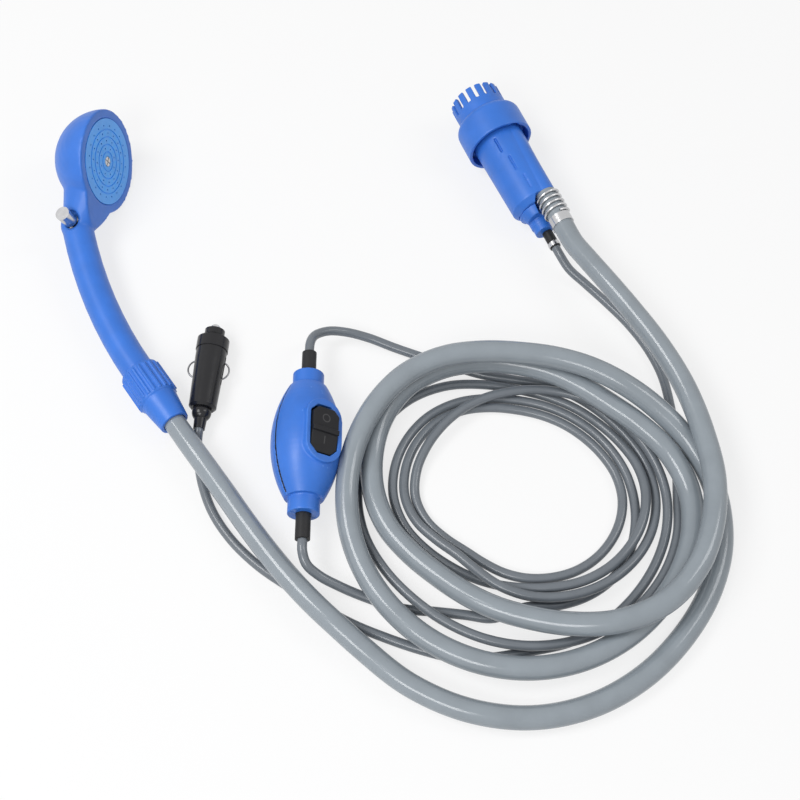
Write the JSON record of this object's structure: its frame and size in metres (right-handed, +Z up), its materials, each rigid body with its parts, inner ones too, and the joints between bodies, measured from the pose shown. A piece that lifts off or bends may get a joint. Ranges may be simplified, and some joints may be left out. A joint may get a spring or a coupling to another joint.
{
  "type": "camp shower pump",
  "caption": "Submersible low-voltage pump with strainer, hose and curved hand shower, and a cable with an in-line rocker switch and a vehicle socket plug.",
  "frame": {"origin": "floor point under the middle of the box round the pump and the hand shower", "axes": "+Z up from the floor, +Y away from the viewer towards the pump strainer, +X to the right from the hand shower to the pump"},
  "size_m": [0.4334, 0.4506, 0.069],
  "materials": {
    "blue_plastic": "smooth glossy moulding",
    "white_plastic": "moulded",
    "steel": "bright",
    "chrome": "plated",
    "copper": "wound copper and laminations",
    "brass": "plain",
    "ferrite": "sintered",
    "black_plastic": "satin black",
    "black_rubber": "soft",
    "lead_insulation": "insulated wire",
    "grey_hose": "smooth glossy soft PVC",
    "grey_cable": "smooth soft PVC",
    "fuse_glass": "glass and metal caps"
  },
  "bodies": {
    "base": {"pump_housing": "blue_plastic", "volute_cover": "blue_plastic", "motor_can": "steel", "motor_magnets": "ferrite", "motor_end_cap": "black_plastic", "motor_brushes": "brass", "front_bush": "brass", "rear_bush": "brass", "shaft_seal": "black_rubber", "tail_cap": "blue_plastic", "tail_seal": "black_rubber", "motor_leads": "lead_insulation", "cable_gland": "black_rubber", "gland_ring": "steel", "hose_spring": "steel", "hose_clamp": "steel", "hose_pump_end": "grey_hose", "hose_pump_run": "grey_hose", "hose_coil": "grey_hose", "hose_handset_run": "grey_hose", "hose_handset_end": "grey_hose", "handset_body": "blue_plastic", "face_plate": "blue_plastic", "face_screw": "steel", "head_gasket": "black_rubber", "hose_tail": "blue_plastic", "nut_washer": "black_rubber", "cable_pump_run": "grey_cable", "cable_coil_pump": "grey_cable", "cable_switch_in_run": "grey_cable", "cable_switch_out_run": "grey_cable", "cable_coil_plug": "grey_cable", "cable_plug_run": "grey_cable", "switch_top_shell": "blue_plastic", "switch_bottom_shell": "blue_plastic", "rocker_pin": "steel", "switch_contacts": "brass", "switch_boot_top": "black_rubber", "switch_boot_bottom": "black_rubber", "switch_screws": "steel", "plug_barrel": "black_plastic", "plug_nose": "black_plastic", "tip_spring": "steel", "plug_boot": "black_rubber"},
    "strainer": {"strainer_cap": "blue_plastic"},
    "rotor": {"impeller": "white_plastic", "motor_shaft": "steel", "rotor_core": "copper", "commutator": "copper"},
    "valve": {"valve_spool": "chrome", "spool_seals": "black_rubber"},
    "nut": {"union_nut": "blue_plastic"},
    "rocker_body": {"rocker": "black_plastic"},
    "lever": {"contact_lever": "brass"},
    "tip": {"plug_tip": "chrome", "fuse": "fuse_glass"},
    "contact_left": {"side_contact_left": "steel"},
    "contact_right": {"side_contact_right": "steel"}
  },
  "joints": [
    {"name": "strainer_twist", "type": "hinge", "parent": "base", "child": "strainer", "pos_m": [0.12382, 0.0994, 0.02415], "axis": [0.3982, -0.9158, -0.0523], "range_deg": [0, 30]},
    {"name": "rotor_spin", "type": "hinge", "parent": "base", "child": "rotor", "pos_m": [0.12919, 0.0823, 0.02039], "axis": [0.3982, -0.9158, -0.0523], "continuous": true},
    {"name": "valve_push", "type": "slide", "parent": "base", "child": "valve", "axis": [0.2673, 0.1871, -0.9453], "range_m": [0, 0.008]},
    {"name": "nut_turn", "type": "hinge", "parent": "base", "child": "nut", "pos_m": [-0.09871, -0.10093, 0.0138], "axis": [-0.5736, 0.8192, 0], "continuous": true},
    {"name": "rocker_tilt", "type": "hinge", "parent": "base", "child": "rocker_body", "pos_m": [0.0101, -0.1435, 0.03409], "axis": [-0.8192, 0, 0.5736], "range_deg": [0, 14]},
    {"name": "lever_tilt", "type": "hinge", "parent": "base", "child": "lever", "pos_m": [0.00609, -0.1435, 0.02835], "axis": [0.8192, 0, -0.5736], "range_deg": [0, 12]},
    {"name": "tip_press", "type": "slide", "parent": "base", "child": "tip", "axis": [-0.0819, -0.9959, -0.0395], "range_m": [0, 0.003], "stiffness_N_per_m": 500, "springref_m": -0.003, "deforming": ["tip_spring"]},
    {"name": "contact_left_press", "type": "slide", "parent": "base", "child": "contact_left", "axis": [0.9966, -0.0819, 0], "range_m": [0, 0.0035], "stiffness_N_per_m": 300, "springref_m": -0.001},
    {"name": "contact_right_press", "type": "slide", "parent": "base", "child": "contact_right", "axis": [-0.9966, 0.0819, 0], "range_m": [0, 0.0035], "stiffness_N_per_m": 300, "springref_m": -0.001}
  ],
  "couplings": [
    {"joint": "lever_tilt", "follows": "rocker_tilt", "ratio": 0.85714}
  ]
}
